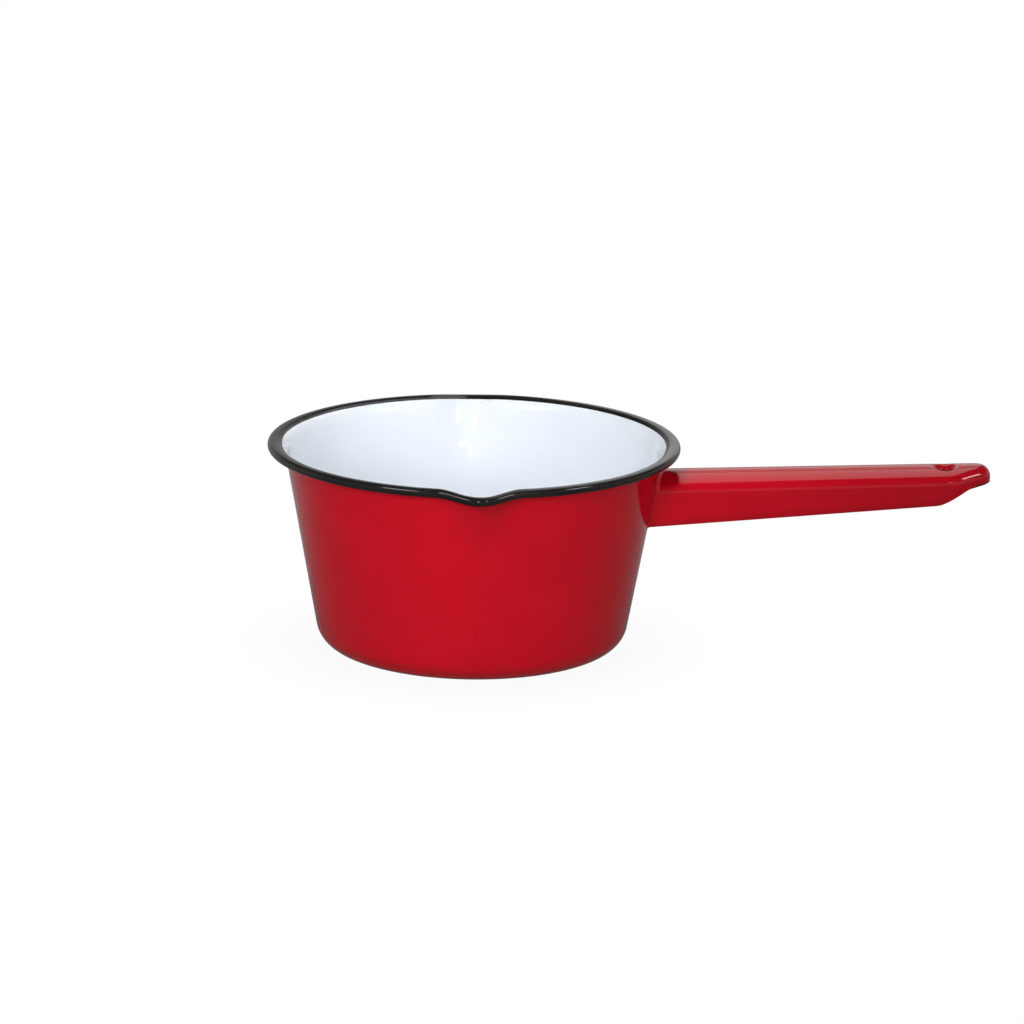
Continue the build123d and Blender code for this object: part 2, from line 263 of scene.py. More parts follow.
class Bench:
    """One node tree being put together"""

    def __init__(self, tree):
        self.tree = tree

    def node(self, kind, settings=None, sockets=None, output=0):
        """A node of any kind: its settings first, then its sockets by name or number, and one output"""
        node = self.tree.nodes.new(kind)
        for name, value in (settings or {}).items():
            setattr(node, name, value)
        for name, value in (sockets or {}).items():
            if isinstance(value, Wire):
                self.tree.links.new(value.socket, node.inputs[name])
            else:
                node.inputs[name].default_value = value
        return Wire(self, node.outputs[output]) if node.outputs else None

    def maths(self, operation, *values):
        return self.node("ShaderNodeMath", {"operation": operation}, dict(enumerate(values)))

    def sin(self, value):
        return self.maths("SINE", value)

    def cos(self, value):
        return self.maths("COSINE", value)

    def least(self, first, second):
        return self.maths("MINIMUM", first, second)

    def clamp(self, value):
        return self.node("ShaderNodeClamp", None, {"Value": value})

    def pick(self, condition, if_true, if_false):
        """if_true where the condition is 1, if_false where it is 0"""
        return if_false + condition * (if_true - if_false)

    def equals(self, value, wanted):
        """1 where a whole number is the one wanted"""
        return self.node("ShaderNodeMath", {"operation": "COMPARE"}, {0: value, 1: wanted, 2: WHOLE_SLACK})

    def smooth_step(self, value, start, end):
        """0 up to start, 1 from end, eased between them"""
        settings = {"interpolation_type": "SMOOTHSTEP"}
        sockets = {"Value": value, "From Min": start, "From Max": end}
        return self.node("ShaderNodeMapRange", settings, sockets)

    def vector(self, x, y, z):
        return self.node("ShaderNodeCombineXYZ", None, {"X": x, "Y": y, "Z": z})

    def axis(self, place, name):
        return self.node("ShaderNodeSeparateXYZ", None, {"Vector": place}, output=name)

    def noise(self, place, scale, detail):
        return self.node("ShaderNodeTexNoise", None, {"Vector": place, "Scale": scale, "Detail": detail})

    def mix_colours(self, factor, first, second):
        """The first colour where the factor is 0, the second where it is 1"""
        first, second = [part if isinstance(part, Wire) else (*part, 1) for part in (first, second)]
        # The node has sockets of one name for each kind of value, so its colours go by number
        return self.node("ShaderNodeMix", {"data_type": "RGBA"}, {0: factor, 6: first, 7: second}, output=2)

    def mix_shaders(self, factor, first, second):
        return self.node("ShaderNodeMixShader", None, {0: factor, 1: first, 2: second})

    def glow(self, strength):
        return self.node("ShaderNodeEmission", None, {"Color": (1, 1, 1, 1), "Strength": strength})


def cleared_bench(owner):
    """The node tree of a material or a world, emptied"""
    owner.use_nodes = True
    owner.node_tree.nodes.clear()
    return Bench(owner.node_tree)


# The bowl: flat sections, and the tree that grows a layer out of one

# Where a ring of a section lies: it keeps its place, or follows the wall, the flare or the rim
FIXED, WALL, FLARE, RIM = range(4)

Ring = namedtuple("Ring", "stretch r z along end depth")


class BowlRules:
    """Where the bowl's surfaces lie, away from the lips: depth is measured inwards from the outside"""

    def __init__(self, sizes):
        self.sizes = sizes
        self.steel_side = sizes.coat
        self.milk_side = sizes.coat + sizes.gauge
        self.sheet = self.milk_side + sizes.coat
        self.flare_r = sizes.rim_radius - sizes.roll_radius - sizes.crown_flat
        self.flare_z = sizes.pan_height - sizes.flare_radius - self.sheet
        lean = sizes.wall_lean
        self.foot_radius = self.flare_r - sizes.flare_radius / math.cos(lean) - math.tan(lean) * self.flare_z
        self.corner_r = self.foot_radius + (math.tan(lean) - 1 / math.cos(lean)) * sizes.base_corner
        self.band_z = sizes.pan_height - sizes.lip_band
        self.roll_r = sizes.rim_radius - sizes.roll_radius
        self.roll_z = sizes.pan_height - sizes.roll_radius
        self.tail_angle = -math.pi / 2 - sizes.tuck_angle

    def wall_radius(self, z, depth=0.0):
        lean = self.sizes.wall_lean
        return self.foot_radius + math.tan(lean) * z - depth / math.cos(lean)

    def flare_at(self, turn, depth):
        reach = self.sizes.flare_radius + depth
        return self.flare_r + math.cos(turn) * reach, self.flare_z + math.sin(turn) * reach

    def roll_at(self, turn, depth):
        reach = self.sizes.roll_radius + depth - self.sheet
        return self.roll_r + math.cos(turn) * reach, self.roll_z + math.sin(turn) * reach

    def tail_point(self, depth, stop_radius, stop_depth):
        """Where the curl's tail, drawn at one depth, ends: at a radius from the flare's middle"""
        along = (-math.cos(self.sizes.tuck_angle), math.sin(self.sizes.tuck_angle))
        start = self.roll_at(self.tail_angle, stop_depth)
        gauge = (start[0] - self.flare_r, start[1] - self.flare_z)
        inward = gauge[0] * along[0] + gauge[1] * along[1]
        run = math.sqrt(inward**2 - gauge[0] ** 2 - gauge[1] ** 2 + stop_radius**2) - inward
        start = self.roll_at(self.tail_angle, depth)
        return start[0] + along[0] * run, start[1] + along[1] * run

    def tail_end(self, depth):
        stop = self.sizes.flare_radius + self.steel_side - self.sizes.slit
        return self.tail_point(depth, stop, self.steel_side)

    def turn_of(self, point):
        return math.atan2(point[1] - self.flare_z, point[0] - self.flare_r)


class Section:
    """A closed outline in the upright half plane, one point for each ring of the layer"""

    BASE_STEPS = 12
    CORNER_STEPS = 14
    LOWER_STEPS = 6

    def __init__(self, rules):
        self.rules = rules
        self.rings = []

    def put(self, stretch, r=0.0, z=0.0, along=0.0, end=0.0, depth=0.0):
        self.rings.append(Ring(stretch, r, z, along, end, depth))

    def lower(self, depth):
        """The base from its middle, the corner, and the wall below the lips' band"""
        rules, corner = self.rules, self.rules.sizes.base_corner
        lean = rules.sizes.wall_lean
        for step in range(self.BASE_STEPS + 1):
            self.put(FIXED, rules.corner_r * step / self.BASE_STEPS, depth)
        reach = corner - depth
        for step in range(1, self.CORNER_STEPS + 1):
            turn = -math.pi / 2 + (math.pi / 2 - lean) * step / self.CORNER_STEPS
            self.put(FIXED, rules.corner_r + math.cos(turn) * reach, corner + math.sin(turn) * reach)
        start = self.rings[-1].z
        for step in range(1, self.LOWER_STEPS + 1):
            z = start + (rules.band_z - start) * step / self.LOWER_STEPS
            self.put(FIXED, rules.wall_radius(z, depth), z)

    def wall(self, depth, steps=22):
        for step in range(1, steps + 1):
            self.put(WALL, along=step / steps, depth=depth)

    def flare(self, depth, end, steps=9):
        for step in range(1, steps + 1):
            self.put(FLARE, along=step / steps, end=end, depth=depth)

    def rim(self, depth, start, steps=6):
        """The rim's crown from an angle on the flare, over the level stretch"""
        for step in range(steps):
            self.put(RIM, *self.rules.flare_at(start + (math.pi / 2 - start) * step / (steps - 1), depth))

    def roll(self, depth, start, end, steps=16):
        for step in range(steps + 1):
            self.put(RIM, *self.rules.roll_at(start + (end - start) * step / steps, depth))

    def point(self, place):
        self.put(RIM, *place)


def drawn(rules, path, depth):
    section = Section(rules)
    path(section, depth)
    return section.rings


def between(rules, outer, inner):
    """Joins two paths, each given with its depth: up the outer one, and back down the inner one"""
    return drawn(rules, *outer) + drawn(rules, *inner)[::-1]


def steel_section(rules):
    def path(section, depth):
        section.lower(depth)
        section.wall(depth)
        section.flare(depth, rules.sizes.white_edge)
        section.rim(depth, rules.sizes.white_edge)
        section.roll(depth, math.pi / 2, rules.tail_angle)
        section.point(rules.tail_end(depth))

    return between(rules, (path, rules.steel_side), (path, rules.milk_side))


def white_section(rules):
    def path(section, depth):
        section.lower(depth)
        section.wall(depth)
        section.flare(depth, rules.sizes.white_edge)

    return between(rules, (path, rules.milk_side), (path, rules.sheet))


def black_section(rules):
    def path(section, depth):
        section.rim(depth, rules.sizes.white_edge, steps=9)
        section.roll(depth, math.pi / 2, rules.sizes.red_edge)

    return between(rules, (path, rules.milk_side), (path, rules.sheet))


def red_section(rules):
    crease_end = rules.tail_point(rules.sheet, rules.sizes.flare_radius, rules.sheet)
    slit_mouth = rules.tail_end(rules.steel_side)

    def outside(section, depth):
        section.lower(depth)
        section.wall(depth)
        section.flare(depth, rules.turn_of(crease_end))
        section.roll(rules.sheet, rules.tail_angle, rules.sizes.red_edge, steps=4)

    def inside(section, depth):
        section.lower(depth)
        section.wall(depth)
        section.flare(depth, rules.turn_of(slit_mouth))
        section.point(rules.tail_end(rules.milk_side))
        section.roll(rules.milk_side, rules.tail_angle, rules.sizes.red_edge, steps=4)

    return between(rules, (outside, 0.0), (inside, rules.steel_side))


TREE_SIZES = (
    "pan_height",
    "wall_lean",
    "flare_radius",
    "lip_reach",
    "lip_dip",
    "lip_half_angle",
    "lip_crease",
    "crease_softness",
)
TREE_RULES = ("flare_r", "flare_z", "foot_radius", "band_z", "sheet")


def layer_tree():
    """Turns a section round the pan's axis, and presses a lip out of both sides"""
    tree = bpy.data.node_groups.new("grow_bowl_layer", "GeometryNodeTree")
    tree.interface.new_socket("Section", in_out="INPUT", socket_type="NodeSocketGeometry")
    for name in TREE_SIZES + TREE_RULES:
        tree.interface.new_socket(name, in_out="INPUT", socket_type="NodeSocketFloat")
    tree.interface.new_socket("columns", in_out="INPUT", socket_type="NodeSocketInt")
    tree.interface.new_socket("sharp_edges", in_out="INPUT", socket_type="NodeSocketFloat")
    tree.interface.new_socket("finish", in_out="INPUT", socket_type="NodeSocketMaterial")
    tree.interface.new_socket("Layer", in_out="OUTPUT", socket_type="NodeSocketGeometry")
    bench = Bench(tree)
    source = tree.nodes.new("NodeGroupInput")
    given = {socket.name: Wire(bench, socket) for socket in source.outputs if socket.name}
    section = given["Section"]

    # A grid with one column for each upright cut and one row for each point of the section. The halves
    # keep a whole number from being rounded down to the one before it
    points = bench.node("GeometryNodeAttributeDomainSize", {"component": "MESH"}, {"Geometry": section})
    rows = points + 1
    grid = bench.node(
        "GeometryNodeMeshGrid", None, {"Vertices X": given["columns"] + 1, "Vertices Y": rows}
    )
    index = bench.node("GeometryNodeInputIndex")
    column = bench.maths("FLOOR", (index + 0.5) / rows)
    row = bench.maths("MODULO", index - column * rows + 0.5, points)
    row = bench.maths("FLOOR", row)

    def sampled(name, kind="FLOAT"):
        if name == "position":
            value = bench.node("GeometryNodeInputPosition")
        else:
            value = bench.node("GeometryNodeInputNamedAttribute", {"data_type": kind}, {"Name": name})
        sockets = {"Geometry": section, "Value": value, "Index": row}
        return bench.node("GeometryNodeSampleIndex", {"data_type": kind, "domain": "POINT"}, sockets)

    place = sampled("position", "FLOAT_VECTOR")
    plain_r, plain_z = bench.axis(place, "X"), bench.axis(place, "Z")
    stretch, along, end, depth = (sampled(name) for name in ("stretch", "along", "end", "depth"))

    # How much of the lip is felt at this column
    around = column / given["columns"] * (2 * math.pi) - math.pi
    off_lip = abs(abs(around) - math.pi / 2)
    spread = bench.least(off_lip / given["lip_half_angle"], 1)
    bump = bench.cos(spread * (math.pi / 2)) ** 2
    out = given["lip_reach"] * bump
    dip = given["lip_dip"] * bump
    flare_radius = given["flare_radius"]
    flare_r = given["flare_r"] + out
    flare_z = given["flare_z"] - dip

    # The fold where the wall turns out to the lip, and the wall's lean above it
    lean = given["wall_lean"]
    slope = bench.maths("TANGENT", lean)
    shallow = flare_radius + given["sheet"]
    fold_z = given["pan_height"] - given["lip_crease"] * (1 - spread) - shallow * spread
    fold_r = given["foot_radius"] + slope * fold_z
    run_r = flare_r - fold_r
    run_z = flare_z - fold_z
    run = bench.maths("SQRT", run_r * run_r + run_z * run_z)
    lip_lean = bench.maths("ARCTAN2", run_r, run_z) - bench.maths("ARCSINE", flare_radius / run)
    side_r = -bench.cos(lean) - bench.cos(lip_lean)
    side_z = bench.sin(lean) + bench.sin(lip_lean)
    closeness = 1 + bench.cos(lean) * bench.cos(lip_lean) + bench.sin(lean) * bench.sin(lip_lean)
    fold_r = fold_r + side_r * depth / closeness
    fold_z = fold_z + side_z * depth / closeness

    # The wall, as a cubic that rounds the fold
    start_turn = math.pi - lip_lean
    flare_reach = flare_radius + depth
    foot_z = given["band_z"]
    foot_r = given["foot_radius"] + slope * foot_z - depth / bench.cos(lean)
    top_r = flare_r + bench.cos(start_turn) * flare_reach
    top_z = flare_z + bench.sin(start_turn) * flare_reach
    soft = given["crease_softness"]
    back = 1 - along
    weights = (back**3, back * back * along * 3, back * along * along * 3, along**3)

    def cubic(foot, fold, top):
        corners = (foot, fold + (foot - fold) * soft, fold + (top - fold) * soft, top)
        parts = [weight * corner for weight, corner in zip(weights, corners)]
        return parts[0] + parts[1] + parts[2] + parts[3]

    wall_r = cubic(foot_r, fold_r, top_r)
    wall_z = cubic(foot_z, fold_z, top_z)

    # The flare, from where it leaves the wall to the angle that the section gives
    turn = start_turn + along * (end - start_turn)
    turned_r = flare_r + bench.cos(turn) * flare_reach
    turned_z = flare_z + bench.sin(turn) * flare_reach

    r, z = plain_r, plain_z
    for kind, kind_r, kind_z in (
        (WALL, wall_r, wall_z),
        (FLARE, turned_r, turned_z),
        (RIM, plain_r + out, plain_z - dip),
    ):
        here = bench.equals(stretch, kind)
        r = bench.pick(here, kind_r, r)
        z = bench.pick(here, kind_z, z)
    spot = bench.vector(r * bench.cos(around), r * bench.sin(around), z)
    grown = bench.node("GeometryNodeSetPosition", None, {"Geometry": grid, "Position": spot})
    grown = bench.node("GeometryNodeMergeByDistance", None, {"Geometry": grown, "Distance": MERGE_DISTANCE})
    grown = bench.node(
        "GeometryNodeSetShadeSmooth", {"domain": "FACE"}, {"Geometry": grown, "Shade Smooth": True}
    )
    bend = bench.node("GeometryNodeInputMeshEdgeAngle")
    sharp = bench.node(
        "FunctionNodeCompare",
        {"data_type": "FLOAT", "operation": "GREATER_THAN"},
        {0: bend, 1: given["sharp_edges"]},
    )
    grown = bench.node(
        "GeometryNodeSetShadeSmooth",
        {"domain": "EDGE"},
        {"Geometry": grown, "Selection": sharp, "Shade Smooth": False},
    )
    grown = bench.node("GeometryNodeRealizeInstances", None, {"Geometry": grown})
    grown = bench.node("GeometryNodeSetMaterial", None, {"Geometry": grown, "Material": given["finish"]})
    sink = tree.nodes.new("NodeGroupOutput")
    tree.links.new(grown.socket, sink.inputs["Layer"])
    return tree


def link(name, data):
    """An object in the scene that holds a mesh, a lamp or a camera"""
    holder = bpy.data.objects.new(name, data)
    bpy.context.scene.collection.objects.link(holder)
    return holder


def grow_layer(name, rings, tree, sizes, rules, finish):
    """A layer of the bowl: the section as a flat outline, grown by the tree and made a plain mesh"""
    outline = bpy.data.meshes.new(name + "_section")
    edges = [(i, (i + 1) % len(rings)) for i in range(len(rings))]
    outline.from_pydata([(ring.r, 0, ring.z) for ring in rings], edges, [])
    outline.materials.append(finish)
    for attribute in ("stretch", "along", "end", "depth"):
        layer = outline.attributes.new(attribute, "FLOAT", "POINT")
        layer.data.foreach_set("value", [float(getattr(ring, attribute)) for ring in rings])
    source = link(name + "_source", outline)
    modifier = source.modifiers.new("grow", "NODES")
    modifier.node_group = tree
    values = {key: getattr(sizes, key) for key in TREE_SIZES}
    values.update({key: getattr(rules, key) for key in TREE_RULES})
    values.update(columns=sizes.columns, sharp_edges=SHARP_EDGE, finish=finish)
    for socket in tree.interface.items_tree:
        if socket.name in values:
            modifier[socket.identifier] = values[socket.name]
    depsgraph = bpy.context.evaluated_depsgraph_get()
    mesh = bpy.data.meshes.new_from_object(source.evaluated_get(depsgraph), depsgraph=depsgraph)
    mesh.name = name
    bpy.data.objects.remove(source)
    return link(name, mesh)


# The handle: rules for one skin at a time


def slerp(first, second, along):
    """A direction part of the way from one to another"""
    opening = first.angle(second)
    if opening < SAME_WAY:
        return first.copy()
    near = math.sin((1 - along) * opening) / math.sin(opening)
    far = math.sin(along * opening) / math.sin(opening)
    return first * near + second * far


def rounded(before, corner, after, radius):
    """A rounded corner: its start and end, the way from its start to its middle, its middle and its bend"""
    way_in = (corner - before).normalized()
    way_out = (after - corner).normalized()
    bend = math.atan2(way_out.y, way_out.x) - math.atan2(way_in.y, way_in.x)
    run = radius * math.tan(abs(bend) / 2)
    start, end = corner - way_in * run, corner + way_out * run
    inwards = Vector((-way_in.y, way_in.x)) * math.copysign(1, bend)
    return start, end, inwards, start + inwards * radius, bend


class HandleRules:
    """Where the handle's surfaces lie: inset is measured inwards from the outside"""

    # Rows up a cut, crowding towards its lower edge, and across the crown
    SIDE_ROWS = 16
    SIDE_CROWDING = 1.35
    SHOULDER_ROWS = 10
    CROSS_ROWS = 22

    # Rows along the handle, from the wall's hollow to the patch round the hole
    HOLLOW_ROWS = 9
    ROOT_ROWS = 6
    ROOT_PASSES = 5
    STATIONS = 34

    # Straight steps and turning steps of the nose's two corners, and steps over half the tip
    SIDE_TURN_STEPS = (8, 9)
    NOSE_TURN_STEPS = (4, 14)
    TIP_STEPS = 5

    # Rings from the nose's outline to the dimple, over it, and down the throat
    PATCH_RINGS = 8
    DIMPLE_RINGS = 9
    THROAT_RINGS = 3

    def __init__(self, sizes, bowl):
        self.sizes = sizes
        self.bowl = bowl
        self.root_top_z = bowl.sizes.pan_height - sizes.drop
        self.root_under_z = self.root_top_z - sizes.depth
        self.root_x = bowl.wall_radius(self.root_top_z)
        self.tip_x = self.root_x + sizes.reach
        self.hole_x = self.tip_x - sizes.hole_setback
        self.flange_z = self.top_z(self.hole_x) - sizes.hole_lip - sizes.hole_throat
        self.hem_drop = sizes.hem_radius * math.cos(sizes.hem_start)
        self.hem_rise = math.sqrt(sizes.hem_radius**2 - (self.hem_drop - sizes.hem_turn) ** 2)
        self.rows = self.SIDE_ROWS + self.SHOULDER_ROWS
        self.cut_count = 2 * self.rows + self.CROSS_ROWS - 1
        self.dimple_reach = sizes.hole_radius + sizes.hole_lip
        self.first_x = self.root_x + sizes.root_width / 2
        self.patch_x = self.hole_x - 2 * self.dimple_reach
        self.lower_corners = self.find_lower_corners()
        self.lower_turns = self.find_lower_turns()

    def top_z(self, x):
        return self.root_top_z + math.tan(self.sizes.rise) * (x - self.root_x)

    def under_z(self, x):
        return self.root_under_z + math.tan(self.sizes.under_rise) * (x - self.root_x)

    def half_width(self, x):
        taper = (self.sizes.end_width - self.sizes.root_width) / (self.sizes.reach - self.sizes.tip_setback)
        return (self.sizes.root_width + taper * (x - self.root_x)) / 2

    def crown_z(self, x, y, inset):
        radius = self.sizes.crown_radius
        return self.top_z(x) - radius + math.sqrt((radius - inset) ** 2 - y * y)

    def crown_normal(self, y, depth):
        """The crown's outward direction over a place that lies a depth below it"""
        sideways = y / (self.sizes.crown_radius - depth)
        upright = math.sqrt(1 - sideways**2)
        return Vector((-math.sin(self.sizes.rise) * upright, sideways, math.cos(self.sizes.rise) * upright))

    def find_lower_corners(self):
        """The lower edge from the side: the wall, the grip's end, the skirt and the tip"""
        sizes = self.sizes
        grip_x = self.tip_x - sizes.grip_setback
        skirt_x = self.tip_x - sizes.skirt_setback
        return [
            Vector((self.root_x, self.root_under_z)),
            Vector((grip_x, self.under_z(grip_x))),
            Vector((skirt_x, self.top_z(skirt_x) - sizes.skirt_depth)),
            Vector((self.tip_x, self.top_z(self.tip_x) - sizes.nose_depth)),
        ]

    def find_lower_turns(self):
        """The lower edge's rounded corners: start, end, middle, radius and which way each turns"""
        turns = []
        for i, radius in ((1, self.sizes.grip_blend), (2, self.sizes.skirt_blend)):
            start, end, _, middle, bend = rounded(*self.lower_corners[i - 1 : i + 2], radius)
            turns.append((start.x, end.x, middle, radius, math.copysign(1, bend)))
        return turns

    def lower_z(self, x):
        for start, end, middle, radius, side in self.lower_turns:
            if start <= x <= end:
                return middle.y - side * math.sqrt(radius**2 - (x - middle.x) ** 2)
        for near, far in zip(self.lower_corners, self.lower_corners[1:]):
            if x <= far.x:
                break
        return near.y + (far.y - near.y) * (x - near.x) / (far.x - near.x)

    def side_item(self, x):
        """A place on the near side's straight edge, seen from above, and the way inwards"""
        near = Vector((self.root_x, -self.half_width(self.root_x)))
        far = Vector((self.tip_x, -self.half_width(self.tip_x)))
        way = (far - near).normalized()
        return Vector((x, -self.half_width(x))), Vector((-way.y, way.x))

    def outline_items(self):
        """Such places all the way round the nose, from the patch's near end to its far end"""
        sizes = self.sizes
        bend_x = self.tip_x - sizes.tip_setback
        corners = [
            Vector((self.patch_x, -self.half_width(self.patch_x))),
            Vector((bend_x, -sizes.end_width / 2)),
            Vector((self.tip_x, -sizes.tip_width / 2)),
            Vector((self.tip_x, 0)),
        ]
        items = []
        last = corners[0]
        for i, radius, (run_steps, turn_steps) in (
            (1, sizes.side_blend, self.SIDE_TURN_STEPS),
            (2, sizes.nose_blend, self.NOSE_TURN_STEPS),
        ):
            start, end, inwards, middle, bend = rounded(*corners[i - 1 : i + 2], radius)
            items += [(last.lerp(start, step / run_steps), inwards) for step in range(run_steps)]
            for step in range(turn_steps):
                turned = Matrix.Rotation(bend * step / turn_steps, 2) @ inwards
                items.append((middle - turned * radius, turned))
            last = end
        for step in range(self.TIP_STEPS + 1):
            items.append((last.lerp(corners[3], step / self.TIP_STEPS), Vector((-1, 0))))
        return items + [(flip(edge), flip(inwards)) for edge, inwards in reversed(items[:-1])]

    def strip_point(self, item, row, inset, lift):
        """A row's place over one item of the outline: up the side, then round the shoulder"""
        edge, inwards = item
        sizes = self.sizes
        outwards = Vector((-inwards.x, -inwards.y, 0))
        centre = edge + inwards * sizes.shoulder
        centre_z = self.crown_z(centre.x, centre.y, sizes.shoulder)
        if row >= self.SIDE_ROWS:
            along = (row - self.SIDE_ROWS + 1) / self.SHOULDER_ROWS
            way = slerp(outwards, self.crown_normal(centre.y, sizes.shoulder), along)
            return Vector((centre.x, centre.y, centre_z)) + way * (sizes.shoulder - inset)
        side = edge + inwards * inset
        low = self.lower_z(side.x) + lift
        z = low + (centre_z - low) * (row / (self.SIDE_ROWS - 1)) ** self.SIDE_CROWDING
        middle_z = self.under_z(side.x) + self.hem_rise
        y = abs(side.y)
        if z < middle_z:
            hem = math.sqrt((sizes.hem_radius - inset) ** 2 - (z - middle_z) ** 2)
            y = min(y, self.half_width(side.x) - self.hem_drop + hem)
        return Vector((side.x, math.copysign(y, side.y), z))

    def across_point(self, item, step, inset):
        """A place on the crown between the two shoulders"""
        edge = self.strip_point(item, self.rows - 1, inset, 0.0)
        y = edge.y * (1 - 2 * step / self.CROSS_ROWS)
        return Vector((edge.x, y, self.crown_z(edge.x, y, inset)))

    def cut_point(self, item, step, inset, lift):
        """A place on a whole cut across the straight part, from the near lower edge to the far one"""
        if step < self.rows:
            return self.strip_point(item, step, inset, lift)
        if step < self.rows + self.CROSS_ROWS - 1:
            return self.across_point(item, step - self.rows + 1, inset)
        return flip(self.strip_point(item, self.cut_count - 1 - step, inset, lift))

    def cut_normal(self, item, step, inset, lift):
        before = self.cut_point(item, max(step - 1, 0), inset, lift)
        after = self.cut_point(item, min(step + 1, self.cut_count - 1), inset, lift)
        way = after - before
        return Vector((0, -way.z, way.y)).normalized()

    def root_column(self, step, inset, lift, hollow, wall_depth):
        """One line along the handle from the bowl's wall, over the hollow there, to the first cut"""
        lean = self.bowl.sizes.wall_lean
        x = self.root_x
        for _ in range(self.ROOT_PASSES):
            item = self.side_item(x)
            normal = self.cut_normal(item, step, inset, lift)
            ball = self.cut_point(item, step, inset, lift) + normal * hollow
            reach = math.sqrt(self.bowl.wall_radius(ball.z, wall_depth - hollow) ** 2 - ball.y**2)
            x += reach - ball.x
        column = []
        if hollow:
            outwards = Vector((ball.x, ball.y, 0)).normalized()
            wall_normal = outwards * math.cos(lean) - Vector((0, 0, math.sin(lean)))
            for turn in range(self.HOLLOW_ROWS):
                column.append(ball + slerp(-wall_normal, -normal, turn / self.HOLLOW_ROWS) * hollow)
        for part in range(self.ROOT_ROWS):
            item = self.side_item(x + (self.first_x - x) * part / self.ROOT_ROWS)
            column.append(self.cut_point(item, step, inset, lift))
        return column

    def hole_ring(self, turn, row, inset):
        """Round the hole: from the crown over the dimple to the throat"""
        out = Vector((math.cos(turn), math.sin(turn), 0))
        centre = Vector((self.hole_x, 0, 0)) + out * self.dimple_reach
        centre.z = self.crown_z(centre.x, centre.y, self.sizes.hole_lip)
        way = slerp(self.crown_normal(centre.y, self.sizes.hole_lip), -out, row / self.DIMPLE_RINGS)
        return centre + way * (self.sizes.hole_lip - inset)

    def grids(self, inset, lift=0.0, hollow=0.0, wall_depth=0.0):
        """The surface at an inset as three grids: the straight part, round the nose, and round the hole

        Its lower edges are lifted, and its root lies at a depth in the bowl's wall, over a hollow or not.
        """
        columns = [self.root_column(step, inset, lift, hollow, wall_depth) for step in range(self.cut_count)]
        straight = [list(row) for row in zip(*columns)]
        for station in range(self.STATIONS + 1):
            item = self.side_item(self.first_x + (self.patch_x - self.first_x) * station / self.STATIONS)
            straight.append([self.cut_point(item, step, inset, lift) for step in range(self.cut_count)])
        outline = self.outline_items()
        nose = [[self.strip_point(item, row, inset, lift) for row in range(self.rows)] for item in outline]
        across = [self.across_point(outline[0], step, inset) for step in range(self.CROSS_ROWS, -1, -1)]
        loop = [column[-1] for column in nose] + across[1:]
        stretch = self.sizes.crown_radius / (self.sizes.crown_radius - self.sizes.hole_lip)
        turns = [math.atan2(place.y / stretch, place.x - self.hole_x) for place in loop]
        patch = []
        dimple = [self.hole_ring(turn, 0, inset) for turn in turns]
        for ring in range(self.PATCH_RINGS):
            spots = [near.lerp(far, ring / self.PATCH_RINGS) for near, far in zip(loop, dimple)]
            patch.append([Vector((spot.x, spot.y, self.crown_z(spot.x, spot.y, inset))) for spot in spots])
        for row in range(self.DIMPLE_RINGS + 1):
            patch.append([self.hole_ring(turn, row, inset) for turn in turns])
        foot_z = self.flange_z + lift
        mouth = patch[-1]
        for ring in range(1, self.THROAT_RINGS + 1):
            drops = [place.z + (foot_z - place.z) * ring / self.THROAT_RINGS for place in mouth]
            patch.append([Vector((place.x, place.y, z)) for place, z in zip(mouth, drops)])
        return straight, nose, patch


def flip(place):
    """The same place on the pan's other side"""
    other = place.copy()
    other.y = -other.y
    return other


class Shell:
    """Vertices and faces of a closed skin being gathered"""

    def __init__(self):
        self.places = []
        self.faces = []

    def lay(self, rows, turned=False):
        """Faces between rows of places, looking along (row x next row) or turned the other way"""
        width = len(rows[0])
        start = len(self.places)
        for row in rows:
            self.places += [tuple(place) for place in row]
        for i in range(len(rows) - 1):
            for j in range(width - 1):
                low = start + i * width + j
                face = (low, low + 1, low + width + 1, low + width)
                self.faces.append(face[::-1] if turned else face)

    def close(self, grids):
        """Outer grids first, inner grids last: their surfaces, and the edges that join them"""
        outer, inner = grids[0], grids[-1]
        for straight_or_nose in (0, 1):
            self.lay(outer[straight_or_nose], turned=True)
            self.lay(inner[straight_or_nose])
        self.lay(outer[2])
        self.lay(inner[2], turned=True)
        self.lay([[row[0] for row in straight] for straight, _, _ in grids], turned=True)
        self.lay([[row[-1] for row in straight] for straight, _, _ in grids])
        self.lay([[column[0] for column in nose] for _, nose, _ in grids], turned=True)
        self.lay([outer[0][0], inner[0][0]])
        self.lay([patch[-1] for _, _, patch in grids])


def skin_piece(name, grids, finish):
    """A closed skin of the handle as a smooth piece"""
    shell = Shell()
    shell.close(grids)
    mesh = bpy.data.meshes.new(name)
    mesh.from_pydata(shell.places, [], shell.faces)
    mesh.materials.append(finish)
    merge(mesh)
    smooth(mesh)
    return link(name, mesh)


def merge(mesh):
    work = bmesh.new()
    work.from_mesh(mesh)
    bmesh.ops.remove_doubles(work, verts=work.verts, dist=MERGE_DISTANCE)
    bmesh.ops.dissolve_degenerate(work, dist=SLIVER, edges=work.edges)
    work.to_mesh(mesh)
    work.free()


def smooth(mesh):
    mesh.shade_smooth()
    mesh.set_sharp_from_angle(angle=SHARP_EDGE)


# Finishes

# The glaze's noise in cells a metre: drifts of colour, the ripple of its surface, and a fine grain
DRIFT_SCALE = 38.0
RIPPLE_SCALE = 90.0
GRAIN_SCALE = 420.0

# How the drifts and the grain share out the second colour, and how far they move the roughness
DRIFT_START = 0.35
DRIFT_GAIN = 2.2
GRAIN_GAIN = 0.25
GLOSS_GAIN = 0.03
RIPPLE_SHARE = 0.7
RELIEF = 0.2 * MM

